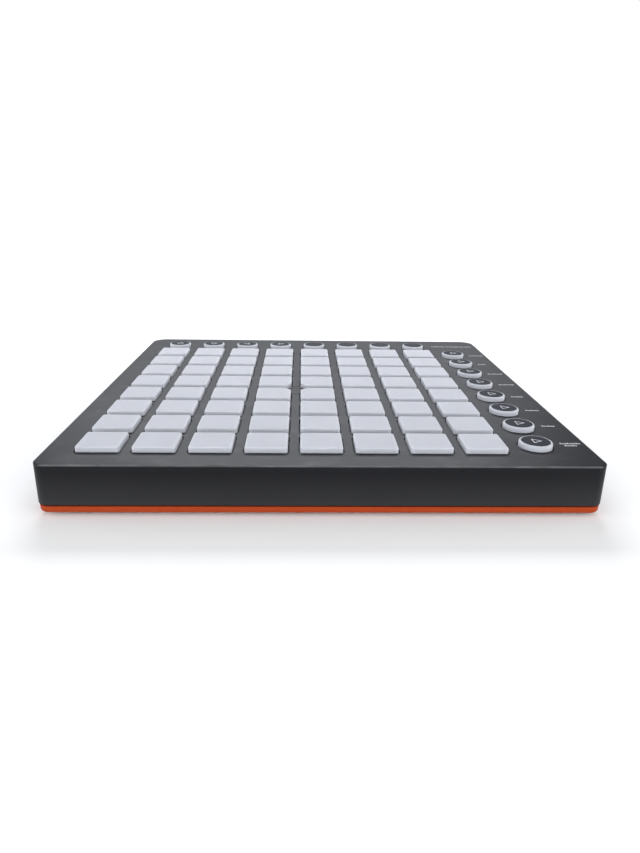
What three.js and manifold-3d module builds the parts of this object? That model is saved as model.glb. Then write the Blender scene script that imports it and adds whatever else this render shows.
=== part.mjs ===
// A square pad controller for playing and launching music: an 8 x 8 grid of silicone pads with a
// row of round buttons behind it and a column of round buttons to its right, in a dark plastic
// shell on a coloured base tray. Millimetres, +Z up, the player sits towards -Y. The origin is on
// the table, under the middle of the case.
import * as THREE from "three";
import { mergeVertices } from "three/addons/utils/BufferGeometryUtils.js";
import Module from "manifold-3d";

const wasm = await Module();
wasm.setup();

// ---------------------------------------------------------------- driving dimensions

const CASE_HALF = 120; // half the width and depth of the square case
const CASE_CORNER = 5; // plan radius of its corners
const FOOT_REACH = 1.5; // how far the feet lift the tray off the table
const TRAY_SKIRT = 3.6; // visible height of the base tray
const SEAM = 0.3; // open line between tray and top shell
const SHELL_HEIGHT = 18.4; // visible height of the top shell
const SHELL_EDGE = 0.5; // softened outer edges of the top shell
const WALL = 2.5; // side walls of the top shell
const PLATE = 2.2; // top plate of the top shell
const FLOOR = 2; // floor of the tray
const GAP = 0.3; // between pieces that sit against each other
const SOLDER = 0.1; // between the board and what is soldered or screwed to it
const OVERRUN = 1; // how far a cut runs past the face it opens
const ROOT = 0.2; // how far a boss or light is rooted in what it stands on

const PITCH = 24.12; // from one pad to the next, both ways
const GRID_COUNT = 8; // pads in a row, and rows
const BLOCK_COUNT = 2; // pads each way in one moulded block
const GRID_X = -97; // centre of the left column of pads
const GRID_Y = -96.5; // centre of the front row of pads
const PAD_HALF = 9.4; // half the width of a pad
const PAD_CORNER = 1.3; // plan radius of a pad's corners
const BUTTON_RADIUS = 7.6;
const KEY_REACH = 2.4; // how far pads and buttons stand above the plate
const KEY_EDGE = 0.7; // softened top edge of pads and buttons
const KEY_CLEARANCE = 0.45; // around each pad and button in the plate
const WEB = 0.9; // thickness of the silicone web that joins pads
const WEB_MARGIN = 1.5; // how far the web runs past its pads
const WEB_CORNER = 3.5; // plan radius of the web's corners
const PRESS_TRAVEL = 1.2; // stroke of every pad and button

const BADGE_HALF = 7.9; // half the diagonal of the diamond inlay in the middle of the grid
const BADGE_THICK = 0.7;
const BADGE_FRAME = 1; // how far the pads beside the inlay stay clear of it
const BOARD_HALF = 108;
const BOARD_CORNER = 2;
const BOARD = 1.6; // thickness of the circuit board
const LED_SIZE = 3;
const LED_HEIGHT = 0.5;
const CHIP_HEIGHT = 1.3;
const PROCESSOR_SIZE = 10;
const DRIVER_SIZE = 8;
const DRIVER_X = 50;
const DRIVER_Y = 10;

const SCREW_PLACE = 112; // the case screws are this far out from the middle
const SCREW_HEAD = 2.8; // radii of the case screws
const SCREW_SHANK = 1.4;
const HEAD_HEIGHT = 2;
const SCREW_LENGTH = 9.9; // under the head
const BOSS_RADIUS = 3.5; // bosses of the top shell that the case screws bite in
const BOSS_BOTTOM = 8;
const BOSS_HOLE_TOP = 17;
const POST_RADIUS = 2.5; // posts of the top shell that carry the board
const BOARD_SCREW_HEAD = 2.3;
const BOARD_SCREW_SHANK = 1;
const BOARD_HEAD_HEIGHT = 1.4;
const BOARD_SCREW_LENGTH = 4.4;

const TRAY_INSET = 0.4; // the tray is this much smaller than the shell all round
const TRAY_EDGE = 2.2; // rounded bottom edge of the tray
const LIP = 1.6; // thickness of the lip that locates the shell on the tray
const LIP_RISE = 2; // how far the lip rises into the shell
const HEAD_POCKET = 3.3; // depth of the pockets for the heads of the case screws
const FOOT_POCKET = 0.8; // depth of the pockets for the feet
const FOOT_PLACE = 98;
const FOOT_RADIUS = 7;
const FOOT_EDGE = 0.6;

const SOCKET_X = -48; // USB socket in the back wall
const SOCKET_WIDTH = 12;
const SOCKET_HEIGHT = 10.7;
const SOCKET_DEPTH = 16.2;
const SOCKET_SETBACK = 0.4; // of its face from the back wall's face
const MOUTH_WIDTH = 8.5;
const MOUTH_HEIGHT = 7.8;
const MOUTH_DEPTH = 9;
const MOUTH_BEVEL = 1.6; // cut corners at the top of the mouth
const TONGUE_WIDTH = 5.6;
const TONGUE_HEIGHT = 3.2;
const TONGUE_LENGTH = 7.7;
const LOCK_SLOT_X = 48; // security lock slot in the back wall
const LOCK_SLOT_WIDTH = 7;
const LOCK_SLOT_HEIGHT = 3;
const LOCK_SLOT_BOTTOM = 10;

const CURVE_STEPS = 18; // facets round a button
const SMALL_STEPS = 12; // facets round a screw or a boss

// ---------------------------------------------------------------- heights and places

const TRAY_BOTTOM = FOOT_REACH;
const FLOOR_TOP = TRAY_BOTTOM + FLOOR;
const TRAY_TOP = TRAY_BOTTOM + TRAY_SKIRT;
const LIP_TOP = TRAY_TOP + LIP_RISE;
const HEAD_SEAT = TRAY_BOTTOM + HEAD_POCKET;
const FOOT_SEAT = TRAY_BOTTOM + FOOT_POCKET;
const SHELL_BOTTOM = TRAY_TOP + SEAM;
const SHELL_TOP = SHELL_BOTTOM + SHELL_HEIGHT;
const PLATE_BOTTOM = SHELL_TOP - PLATE;
const KEY_TOP = SHELL_TOP + KEY_REACH;
const WEB_TOP = PLATE_BOTTOM - GAP;
const KEY_BOTTOM = WEB_TOP - WEB;
const BOARD_TOP = KEY_BOTTOM - PRESS_TRAVEL - LED_HEIGHT - SOLDER;
const BOARD_BOTTOM = BOARD_TOP - BOARD;
const SOCKET_TOP = BOARD_BOTTOM - GAP;
const SOCKET_MIDDLE = SOCKET_TOP - SOCKET_HEIGHT / 2;
const SOCKET_FACE = CASE_HALF - SOCKET_SETBACK;
const INNER_HALF = CASE_HALF - WALL;
const INNER_CORNER = CASE_CORNER - WALL;
const CENTRE_X = GRID_X + (PITCH * (GRID_COUNT - 1)) / 2;
const CENTRE_Y = GRID_Y + (PITCH * (GRID_COUNT - 1)) / 2;

// ---------------------------------------------------------------- materials

const finish = (color, roughness, metalness = 0) =>
  new THREE.MeshStandardMaterial({ color, roughness, metalness });

const shellPlastic = finish(0x3c3e44, 0.5);
const trayPlastic = finish(0xb8471f, 0.5);
const padSilicone = finish(0xdcdfe6, 0.6);
const badgePlastic = finish(0x2a2b2f, 0.4);
const footRubber = finish(0x1c1c1c, 0.9);
const boardLaminate = finish(0x1e4a30, 0.5);
const chipPlastic = finish(0x161616, 0.5);
const screwSteel = finish(0x8d9096, 0.35, 1);
const socketSteel = finish(0xb9bcc0, 0.3, 1);
const tonguePlastic = finish(0xf0f0ec, 0.5);

// ---------------------------------------------------------------- solids

/** A closed geometry as a solid that can be cut and joined. */
function solid(geometry) {
  const bare = geometry.index ? geometry.toNonIndexed() : geometry.clone();
  bare.deleteAttribute("normal");
  bare.deleteAttribute("uv");
  const merged = mergeVertices(bare, 1e-4);
  return new wasm.Manifold(
    new wasm.Mesh({
      numProp: 3,
      vertProperties: merged.attributes.position.array,
      triVerts: new Uint32Array(merged.index.array),
    }),
  );
}

/** A solid as a geometry that three.js can draw. */
function geometryOf(shape) {
  const { vertProperties, triVerts } = shape.getMesh();
  const geometry = new THREE.BufferGeometry();
  geometry.setAttribute("position", new THREE.BufferAttribute(vertProperties, 3));
  geometry.setIndex(new THREE.BufferAttribute(triVerts, 1));
  geometry.computeVertexNormals();
  return geometry;
}

const joined = (shapes) => shapes.reduce((whole, shape) => whole.add(shape));

const box = (x0, x1, y0, y1, z0, z1) =>
  solid(
    new THREE.BoxGeometry(x1 - x0, y1 - y0, z1 - z0).translate(
      (x0 + x1) / 2,
      (y0 + y1) / 2,
      (z0 + z1) / 2,
    ),
  );

/** An upright cylinder from z0 to z1. */
const cylinder = (x, y, radius, z0, z1, steps = SMALL_STEPS) =>
  solid(
    new THREE.CylinderGeometry(radius, radius, z1 - z0, steps)
      .rotateX(Math.PI / 2)
      .translate(x, y, (z0 + z1) / 2),
  );

/** The outline of a square with rounded corners. */
function roundedSquare(half, radius, steps) {
  const outline = new THREE.Shape();
  const inner = half - radius;
  const corners = [
    [inner, inner],
    [-inner, inner],
    [-inner, -inner],
    [inner, -inner],
  ];
  corners.forEach(([x, y], quarter) => {
    for (let step = 0; step <= steps; step++) {
      const angle = ((quarter + step / steps) * Math.PI) / 2;
      const px = x + radius * Math.cos(angle);
      const py = y + radius * Math.sin(angle);
      if (quarter === 0 && step === 0) outline.moveTo(px, py);
      else outline.lineTo(px, py);
    }
  });
  outline.closePath();
  return outline;
}

/** The outline of a square that stands on one corner. */
function diamond(half) {
  const outline = new THREE.Shape();
  outline.moveTo(half, 0);
  outline.lineTo(0, half);
  outline.lineTo(-half, 0);
  outline.lineTo(0, -half);
  outline.closePath();
  return outline;
}

/** An outline raised from z0 to z1. An edge softens both of its ends, within that height. */
function prism(outline, z0, z1, edge = 0, edgeSteps = 1) {
  const geometry = new THREE.ExtrudeGeometry(outline, {
    depth: z1 - z0 - 2 * edge,
    bevelEnabled: edge > 0,
    bevelThickness: edge,
    bevelSize: edge,
    bevelOffset: -edge,
    bevelSegments: edgeSteps,
  });
  return geometry.translate(0, 0, z0 + edge);
}

/** A profile of [radius, height] pairs turned about Z. It starts and ends on the axis. */
const turned = (profile, steps = CURVE_STEPS) =>
  new THREE.LatheGeometry(
    profile.map(([radius, height]) => new THREE.Vector2(radius, height)),
    steps,
  ).rotateX(Math.PI / 2);

// ---------------------------------------------------------------- the assembly

const controller = new THREE.Group();

function addPiece(name, geometry, material, x = 0, y = 0, z = 0) {
  const mesh = new THREE.Mesh(geometry, material);
  mesh.name = name;
  mesh.position.set(x, y, z);
  controller.add(mesh);
}

/** Calls each(x, y, name) for the four corners that are the same distance out. */
function atCorners(distance, each) {
  each(-distance, -distance, "front_left");
  each(distance, -distance, "front_right");
  each(-distance, distance, "back_left");
  each(distance, distance, "back_right");
}

/** Calls each(x, y, name) for the eight screws that hold the case together. */
function atCaseScrews(each) {
  atCorners(SCREW_PLACE, each);
  each(0, -SCREW_PLACE, "front");
  each(0, SCREW_PLACE, "back");
  each(-SCREW_PLACE, 0, "left");
  each(SCREW_PLACE, 0, "right");
}

/** Calls each(x, y, name) for the four board screws, which sit where the webs of four blocks meet. */
function atBoardScrews(each) {
  const inFromEdge = BLOCK_COUNT - 0.5;
  const near = inFromEdge * PITCH;
  const far = (GRID_COUNT - 1 - inFromEdge) * PITCH;
  each(GRID_X + near, GRID_Y + near, "front_left");
  each(GRID_X + far, GRID_Y + near, "front_right");
  each(GRID_X + near, GRID_Y + far, "back_left");
  each(GRID_X + far, GRID_Y + far, "back_right");
}

/** Calls each(x, y) for every pad. */
function atPads(each) {
  for (let row = 0; row < GRID_COUNT; row++)
    for (let column = 0; column < GRID_COUNT; column++)
      each(GRID_X + column * PITCH, GRID_Y + row * PITCH);
}

/** Calls each(x, y, name) for the buttons behind the pads and the buttons to their right. */
function atButtons(each) {
  for (let n = 0; n < GRID_COUNT; n++) {
    each(GRID_X + n * PITCH, GRID_Y + GRID_COUNT * PITCH, `top_button_${n + 1}`);
    each(GRID_X + GRID_COUNT * PITCH, GRID_Y + n * PITCH, `side_button_${n + 1}`);
  }
}

// ---------------------------------------------------------------- top shell

/** The openings that the pads stand in. The four in the middle leave room for the inlay. */
function padOpenings() {
  const outline = roundedSquare(PAD_HALF + KEY_CLEARANCE, PAD_CORNER, 1);
  const opening = solid(prism(outline, PLATE_BOTTOM - OVERRUN, SHELL_TOP + OVERRUN));
  const past = 2 * OVERRUN;
  const kept = prism(diamond(BADGE_HALF + GAP), PLATE_BOTTOM - past, SHELL_TOP + past);
  const middle = solid(kept).translate([CENTRE_X, CENTRE_Y, 0]);
  const openings = [];
  atPads((x, y) => openings.push(opening.translate([x, y, 0])));
  return joined(openings).subtract(middle);
}

function buttonOpenings() {
  const radius = BUTTON_RADIUS + KEY_CLEARANCE;
  const bottom = PLATE_BOTTOM - OVERRUN;
  const openings = [];
  atButtons((x, y) =>
    openings.push(cylinder(x, y, radius, bottom, SHELL_TOP + OVERRUN, CURVE_STEPS)),
  );
  return joined(openings);
}

function badgeRecess() {
  const bottom = SHELL_TOP - BADGE_THICK - GAP;
  const recess = prism(diamond(BADGE_HALF + 2 * GAP), bottom, SHELL_TOP + OVERRUN);
  return solid(recess).translate([CENTRE_X, CENTRE_Y, 0]);
}

/** A cut through the back wall, centred on x. */
const backWallCut = (x, width, bottom, top) =>
  box(x - width / 2, x + width / 2, INNER_HALF - OVERRUN, CASE_HALF + OVERRUN, bottom, top);

function topShell() {
  const outside = roundedSquare(CASE_HALF, CASE_CORNER, 5);
  const inside = roundedSquare(INNER_HALF, INNER_CORNER, 3);
  const block = solid(prism(outside, SHELL_BOTTOM, SHELL_TOP, SHELL_EDGE));
  const hollow = solid(prism(inside, SHELL_BOTTOM - OVERRUN, PLATE_BOTTOM));
  const rooted = PLATE_BOTTOM + ROOT;
  const bosses = [];
  const cuts = [
    padOpenings(),
    buttonOpenings(),
    badgeRecess(),
    backWallCut(SOCKET_X, SOCKET_WIDTH + 2 * GAP, SHELL_BOTTOM - OVERRUN, SOCKET_TOP + GAP),
    backWallCut(
      LOCK_SLOT_X,
      LOCK_SLOT_WIDTH,
      LOCK_SLOT_BOTTOM,
      LOCK_SLOT_BOTTOM + LOCK_SLOT_HEIGHT,
    ),
  ];
  atCaseScrews((x, y) => {
    bosses.push(cylinder(x, y, BOSS_RADIUS, BOSS_BOTTOM, rooted));
    cuts.push(cylinder(x, y, SCREW_SHANK + GAP, BOSS_BOTTOM - OVERRUN, BOSS_HOLE_TOP));
  });
  atBoardScrews((x, y) => {
    const holeTop = BOARD_BOTTOM + BOARD_SCREW_LENGTH + GAP;
    bosses.push(cylinder(x, y, POST_RADIUS, BOARD_TOP + GAP, rooted));
    cuts.push(cylinder(x, y, BOARD_SCREW_SHANK + GAP, BOARD_TOP, holeTop));
  });
  return block.subtract(hollow).add(joined(bosses)).subtract(joined(cuts));
}

addPiece("top_shell", geometryOf(topShell()), shellPlastic);

addPiece(
  "centre_badge",
  prism(diamond(BADGE_HALF), 0, BADGE_THICK),
  badgePlastic,
  CENTRE_X,
  CENTRE_Y,
  SHELL_TOP - BADGE_THICK,
);

// ---------------------------------------------------------------- pads and buttons

/** Four pads on one web, about the block's centre. */
function padBlock() {
  const outline = roundedSquare(PAD_HALF, PAD_CORNER, 1);
  const webOutline = roundedSquare(PITCH / 2 + PAD_HALF + WEB_MARGIN, WEB_CORNER, 1);
  const pad = solid(prism(outline, KEY_BOTTOM + ROOT, KEY_TOP, KEY_EDGE));
  const shapes = [solid(prism(webOutline, KEY_BOTTOM, WEB_TOP))];
  for (const x of [-PITCH / 2, PITCH / 2])
    for (const y of [-PITCH / 2, PITCH / 2]) shapes.push(pad.translate([x, y, 0]));
  return joined(shapes);
}

/** What a pad block at (x, y) loses to stay clear of the inlay. */
function badgeRoom(x, y) {
  const half = BADGE_HALF + BADGE_FRAME;
  const room = prism(diamond(half), KEY_BOTTOM - OVERRUN, KEY_TOP + OVERRUN);
  return solid(room).translate([CENTRE_X - x, CENTRE_Y - y, 0]);
}

function addPadBlocks() {
  const block = padBlock();
  const count = GRID_COUNT / BLOCK_COUNT;
  for (let row = 0; row < count; row++)
    for (let column = 0; column < count; column++) {
      const x = GRID_X + (BLOCK_COUNT * column + 0.5) * PITCH;
      const y = GRID_Y + (BLOCK_COUNT * row + 0.5) * PITCH;
      const shape = block.subtract(badgeRoom(x, y));
      addPiece(`pad_block_${row + 1}_${column + 1}`, geometryOf(shape), padSilicone, x, y);
    }
}

const buttonProfile = [
  [0, KEY_BOTTOM],
  [BUTTON_RADIUS + WEB_MARGIN, KEY_BOTTOM],
  [BUTTON_RADIUS + WEB_MARGIN, WEB_TOP],
  [BUTTON_RADIUS, WEB_TOP],
  [BUTTON_RADIUS, KEY_TOP - KEY_EDGE],
  [BUTTON_RADIUS - KEY_EDGE, KEY_TOP],
  [0, KEY_TOP],
];

addPadBlocks();
atButtons((x, y, name) => addPiece(name, turned(buttonProfile), padSilicone, x, y));

// ---------------------------------------------------------------- circuit board

/** The laminate, with a light soldered on it under the middle of every pad and button. */
function circuitBoard() {
  const outline = roundedSquare(BOARD_HALF, BOARD_CORNER, 2);
  const board = solid(prism(outline, BOARD_BOTTOM, BOARD_TOP));
  const half = LED_SIZE / 2;
  const light = box(-half, half, -half, half, BOARD_TOP - ROOT, BOARD_TOP + LED_HEIGHT);
  const lights = [];
  const addLight = (x, y) => lights.push(light.translate([x, y, 0]));
  atPads(addLight);
  atButtons(addLight);
  const radius = BOARD_SCREW_SHANK + GAP;
  const holes = [];
  atBoardScrews((x, y) =>
    holes.push(cylinder(x, y, radius, BOARD_BOTTOM - OVERRUN, BOARD_TOP + OVERRUN)),
  );
  return board.add(joined(lights)).subtract(joined(holes));
}

/** A square chip soldered under the board. */
function addChip(name, x, y, size, height) {
  const z = BOARD_BOTTOM - SOLDER - height / 2;
  addPiece(name, new THREE.BoxGeometry(size, size, height), chipPlastic, x, y, z);
}

addPiece("circuit_board", geometryOf(circuitBoard()), boardLaminate);
addChip("processor_chip", -20, 70, PROCESSOR_SIZE, CHIP_HEIGHT);
addChip("led_driver_left", -DRIVER_X, DRIVER_Y, DRIVER_SIZE, CHIP_HEIGHT);
addChip("led_driver_right", DRIVER_X, DRIVER_Y, DRIVER_SIZE, CHIP_HEIGHT);

// ---------------------------------------------------------------- USB socket

/** The shell of the socket, about X = 0. Its mouth faces +Y. */
function usbSocket() {
  const width = SOCKET_WIDTH / 2;
  const back = SOCKET_FACE - SOCKET_DEPTH;
  const shell = box(-width, width, back, SOCKET_FACE, SOCKET_TOP - SOCKET_HEIGHT, SOCKET_TOP);
  const side = MOUTH_WIDTH / 2;
  const rise = MOUTH_HEIGHT / 2;
  const mouth = new THREE.Shape();
  mouth.moveTo(-side, -rise);
  mouth.lineTo(side, -rise);
  mouth.lineTo(side, rise - MOUTH_BEVEL);
  mouth.lineTo(side - MOUTH_BEVEL, rise);
  mouth.lineTo(MOUTH_BEVEL - side, rise);
  mouth.lineTo(-side, rise - MOUTH_BEVEL);
  mouth.closePath();
  const cavity = prism(mouth, 0, MOUTH_DEPTH + OVERRUN)
    .rotateX(Math.PI / 2)
    .translate(0, SOCKET_FACE + OVERRUN, SOCKET_MIDDLE);
  return shell.subtract(solid(cavity));
}

addPiece("usb_socket", geometryOf(usbSocket()), socketSteel, SOCKET_X);
addPiece(
  "usb_tongue",
  new THREE.BoxGeometry(TONGUE_WIDTH, TONGUE_LENGTH, TONGUE_HEIGHT),
  tonguePlastic,
  SOCKET_X,
  SOCKET_FACE - MOUTH_DEPTH + GAP + TONGUE_LENGTH / 2,
  SOCKET_MIDDLE,
);

// ---------------------------------------------------------------- base tray

/** The skirt and floor of the tray, with the lip that the shell drops over. */
function trayShell() {
  const outline = roundedSquare(CASE_HALF - TRAY_INSET, CASE_CORNER - TRAY_INSET, 4);
  const above = TRAY_TOP + 2 * TRAY_EDGE;
  const block = solid(prism(outline, TRAY_BOTTOM, above, TRAY_EDGE, 3));
  const reach = CASE_HALF + OVERRUN;
  const over = box(-reach, reach, -reach, reach, TRAY_TOP, above + OVERRUN);
  const lipHalf = INNER_HALF - GAP;
  const lipCorner = INNER_CORNER - GAP;
  const lip = solid(prism(roundedSquare(lipHalf, lipCorner, 2), FLOOR_TOP, LIP_TOP));
  const inside = roundedSquare(lipHalf - LIP, lipCorner, 2);
  const hollow = solid(prism(inside, FLOOR_TOP, LIP_TOP + OVERRUN));
  return block.subtract(over).add(lip).subtract(hollow);
}

/** The bosses round the case screws. */
function trayBosses() {
  const bosses = [];
  atCaseScrews((x, y) =>
    bosses.push(cylinder(x, y, SCREW_HEAD + WALL / 2, FLOOR_TOP - ROOT, BOSS_BOTTOM - GAP)),
  );
  return joined(bosses);
}

/** The holes and head pockets of the screws, the foot pockets and the gap round the socket. */
function trayCuts() {
  const half = SOCKET_WIDTH / 2 + GAP;
  const back = SOCKET_FACE - SOCKET_DEPTH;
  const below = TRAY_BOTTOM - OVERRUN;
  const cuts = [
    box(SOCKET_X - half, SOCKET_X + half, back, INNER_HALF, TRAY_TOP, LIP_TOP + OVERRUN),
  ];
  atCaseScrews((x, y) => {
    cuts.push(cylinder(x, y, SCREW_SHANK + GAP, TRAY_BOTTOM, BOSS_BOTTOM));
    cuts.push(cylinder(x, y, SCREW_HEAD + GAP, below, HEAD_SEAT));
  });
  atCorners(FOOT_PLACE, (x, y) =>
    cuts.push(cylinder(x, y, FOOT_RADIUS + GAP, below, FOOT_SEAT, CURVE_STEPS)),
  );
  return joined(cuts);
}

addPiece(
  "base_tray",
  geometryOf(trayShell().add(trayBosses()).subtract(trayCuts())),
  trayPlastic,
);

// ---------------------------------------------------------------- feet

const footTop = FOOT_SEAT - GAP;
const footProfile = [
  [0, 0],
  [FOOT_RADIUS - FOOT_EDGE, 0],
  [FOOT_RADIUS, FOOT_EDGE],
  [FOOT_RADIUS, footTop],
  [0, footTop],
];

atCorners(FOOT_PLACE, (x, y, name) =>
  addPiece(`rubber_foot_${name}`, turned(footProfile), footRubber, x, y),
);

// ---------------------------------------------------------------- screws

/** A pan-head screw that points up. The underside of its head is at z 0. */
const screw = (headRadius, headHeight, shankRadius, length) =>
  turned(
    [
      [0, -headHeight],
      [headRadius * 0.7, -headHeight],
      [headRadius, -headHeight * 0.5],
      [headRadius, 0],
      [shankRadius, 0],
      [shankRadius, length - shankRadius],
      [0, length],
    ],
    SMALL_STEPS,
  );

const caseScrew = screw(SCREW_HEAD, HEAD_HEIGHT, SCREW_SHANK, SCREW_LENGTH);
const boardScrew = screw(
  BOARD_SCREW_HEAD,
  BOARD_HEAD_HEIGHT,
  BOARD_SCREW_SHANK,
  BOARD_SCREW_LENGTH,
);

atCaseScrews((x, y, name) =>
  addPiece(`case_screw_${name}`, caseScrew, screwSteel, x, y, HEAD_SEAT - SOLDER),
);

atBoardScrews((x, y, name) =>
  addPiece(`board_screw_${name}`, boardScrew, screwSteel, x, y, BOARD_BOTTOM - SOLDER),
);

export default controller;
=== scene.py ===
"""The looks of a square pad controller, laid out as an add-on.

Each operator makes one piece, or a group of like pieces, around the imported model. main() runs them
in order. Every length is in metres unless its name says otherwise.
"""

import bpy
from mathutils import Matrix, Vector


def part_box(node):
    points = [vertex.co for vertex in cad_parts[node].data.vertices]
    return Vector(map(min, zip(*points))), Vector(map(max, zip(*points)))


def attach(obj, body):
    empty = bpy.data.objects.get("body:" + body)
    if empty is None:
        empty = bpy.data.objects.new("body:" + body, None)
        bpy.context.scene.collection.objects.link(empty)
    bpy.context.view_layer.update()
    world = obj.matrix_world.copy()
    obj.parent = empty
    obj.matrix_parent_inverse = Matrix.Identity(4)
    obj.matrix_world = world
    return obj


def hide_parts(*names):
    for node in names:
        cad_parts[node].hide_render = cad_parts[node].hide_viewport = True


bl_info = {
    "name": "Pad Controller",
    "version": (1, 0, 0),
    "blender": (4, 5, 0),
    "location": "View3D > Sidebar > Pad Controller",
    "description": "Builds the case, pads, buttons, fastenings and studio of a pad controller",
    "category": "Object",
}

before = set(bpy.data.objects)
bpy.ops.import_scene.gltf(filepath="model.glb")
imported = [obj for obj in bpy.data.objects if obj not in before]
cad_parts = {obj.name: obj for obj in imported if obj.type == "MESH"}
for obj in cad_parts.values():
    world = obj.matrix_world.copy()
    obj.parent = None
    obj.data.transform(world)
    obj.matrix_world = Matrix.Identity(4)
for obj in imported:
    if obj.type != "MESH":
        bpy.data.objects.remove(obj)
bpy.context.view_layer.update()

import math

import bmesh
import bpy
from bpy.props import FloatProperty, FloatVectorProperty, PointerProperty
from mathutils import Matrix, Vector

MM = 0.001

# ---- sizes read from the frame

CASE = "case"
SHELL_LOW, SHELL_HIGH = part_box("top_shell")
BOARD_LOW, BOARD_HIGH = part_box("circuit_board")
BADGE_LOW, BADGE_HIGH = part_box("centre_badge")
SOCKET_LOW, SOCKET_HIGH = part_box("usb_socket")
TONGUE_LOW, TONGUE_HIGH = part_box("usb_tongue")

CASE_HALF = SHELL_HIGH.x
SHELL_TOP = SHELL_HIGH.z
SHELL_BOTTOM = SHELL_LOW.z
TRAY_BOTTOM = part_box("base_tray")[0].z


def middle(node):
    """The middle of a node's box."""
    low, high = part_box(node)
    return (low + high) / 2


COUNT = 8
BLOCKS = ["pad_block_%d_%d" % (row, column) for row in range(1, 5) for column in range(1, 5)]
TOP_BUTTONS = ["top_button_%d" % n for n in range(1, COUNT + 1)]
SIDE_BUTTONS = ["side_button_%d" % n for n in range(1, COUNT + 1)]
CORNERS = ("front_left", "front_right", "back_left", "back_right")
CASE_SCREWS = ["case_screw_" + end for end in CORNERS + ("front", "back", "left", "right")]
BOARD_SCREWS = ["board_screw_" + end for end in CORNERS]
FEET = ["rubber_foot_" + end for end in CORNERS]
CHIPS = ["processor_chip", "led_driver_left", "led_driver_right"]

PITCH = middle("top_button_2").x - middle("top_button_1").x
GRID_X = middle("top_button_1").x
GRID_Y = middle("side_button_1").y
CENTRE = Vector((GRID_X, GRID_Y)) + Vector((PITCH, PITCH)) * (COUNT - 1) / 2
BLOCK_LOW, BLOCK_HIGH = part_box("pad_block_1_1")
BUTTON_LOW, BUTTON_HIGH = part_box("top_button_1")
KEY_BOTTOM = BLOCK_LOW.z
KEY_TOP = BLOCK_HIGH.z
WEB_HALF = (BLOCK_HIGH.x - BLOCK_LOW.x) / 2
WEB_MARGIN = 1.5 * MM
PAD_HALF = WEB_HALF - PITCH / 2 - WEB_MARGIN
BUTTON_RADIUS = (BUTTON_HIGH.x - BUTTON_LOW.x) / 2 - WEB_MARGIN
BADGE_HALF = (BADGE_HIGH.x - BADGE_LOW.x) / 2

# ---- sizes shared by several pieces

GAP = 0.3 * MM
WALL = 2.5 * MM
PLATE = 2.2 * MM
PLATE_BOTTOM = SHELL_TOP - PLATE
SEAM = 0.7 * MM
TRAY_TOP = SHELL_BOTTOM - SEAM
KEY_CLEARANCE = 0.45 * MM
WEB_TOP = PLATE_BOTTOM - GAP
SHANK_HOLE = 1.7 * MM
BOSS_BOTTOM = 8 * MM
HEAD_SEAT = TRAY_BOTTOM + 3.3 * MM
FOOT_SEAT = TRAY_BOTTOM + 0.8 * MM
BADGE_CLEARANCE = 1 * MM
CASE_HOLE_TOP = 17 * MM
RUN_OUT = 1 * MM  # how far a cutter reaches past what it cuts
RING_STEPS = 32


# ---- settings


class PADCONTROLLER_PG_case(bpy.types.PropertyGroup):
    """What a user would change on the case."""

    corner: FloatProperty(
        name="Corner", description="Plan radius of the front corners", default=5 * MM, unit="LENGTH"
    )
    back_corner: FloatProperty(
        name="Back corner",
        description="Plan radius of the back corners",
        default=9 * MM,
        unit="LENGTH",
    )
    edge: FloatProperty(
        name="Top edge", description="Radius along the top edge", default=0.5 * MM, unit="LENGTH"
    )
    opening_edge: FloatProperty(
        name="Opening edge",
        description="Radius round the openings of the pads and buttons",
        default=0.22 * MM,
        unit="LENGTH",
    )
    tray_edge: FloatProperty(
        name="Tray edge", description="Radius under the tray", default=1.5 * MM, unit="LENGTH"
    )
    shell_colour: FloatVectorProperty(
        name="Shell",
        description="Plastic of the top shell",
        default=(0.0045, 0.0046, 0.006),
        subtype="COLOR",
    )
    tray_colour: FloatVectorProperty(
        name="Tray",
        description="Plastic of the base tray",
        default=(0.29, 0.036, 0.0055),
        subtype="COLOR",
    )
    print_colour: FloatVectorProperty(
        name="Print", description="Ink of the marks", default=(0.5, 0.51, 0.52), subtype="COLOR"
    )


class PADCONTROLLER_PG_keys(bpy.types.PropertyGroup):
    """What a user would change on the pads and buttons."""

    corner: FloatProperty(
        name="Pad corner", description="Plan radius of a pad's corners", default=1.3 * MM, unit="LENGTH"
    )
    edge: FloatProperty(
        name="Key edge", description="Radius round the tops", default=0.75 * MM, unit="LENGTH"
    )
    crown: FloatProperty(
        name="Crown", description="Rise of a pad's middle", default=0.06 * MM, unit="LENGTH"
    )
    ink_radius: FloatProperty(
        name="Cap", description="Radius of a button's dark cap", default=6.45 * MM, unit="LENGTH"
    )
    icon_size: FloatProperty(
        name="Icon", description="Reach of an arrow from its middle", default=2.85 * MM, unit="LENGTH"
    )
    silicone_colour: FloatVectorProperty(
        name="Silicone",
        description="Pads and buttons",
        default=(0.437, 0.442, 0.472),
        subtype="COLOR",
    )
    ink_colour: FloatVectorProperty(
        name="Cap ink",
        description="Dark caps of the buttons",
        default=(0.016, 0.018, 0.024),
        subtype="COLOR",
    )


class PADCONTROLLER_PG_stage(bpy.types.PropertyGroup):
    """What a user would change on the studio."""

    floor_colour: FloatVectorProperty(
        name="Floor",
        description="Colour of the floor",
        default=(0.92, 0.905, 0.885),
        subtype="COLOR",
    )
    back_light: FloatProperty(
        name="Back light", description="Power of the softbox behind", default=19.5, subtype="POWER"
    )
    top_light: FloatProperty(
        name="Top light", description="Strength of the broad light above", default=0.25
    )
    lens: FloatProperty(
        name="Lens", description="Focal length in millimetres", default=26.94, unit="CAMERA"
    )


# ---- shader maths


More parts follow.
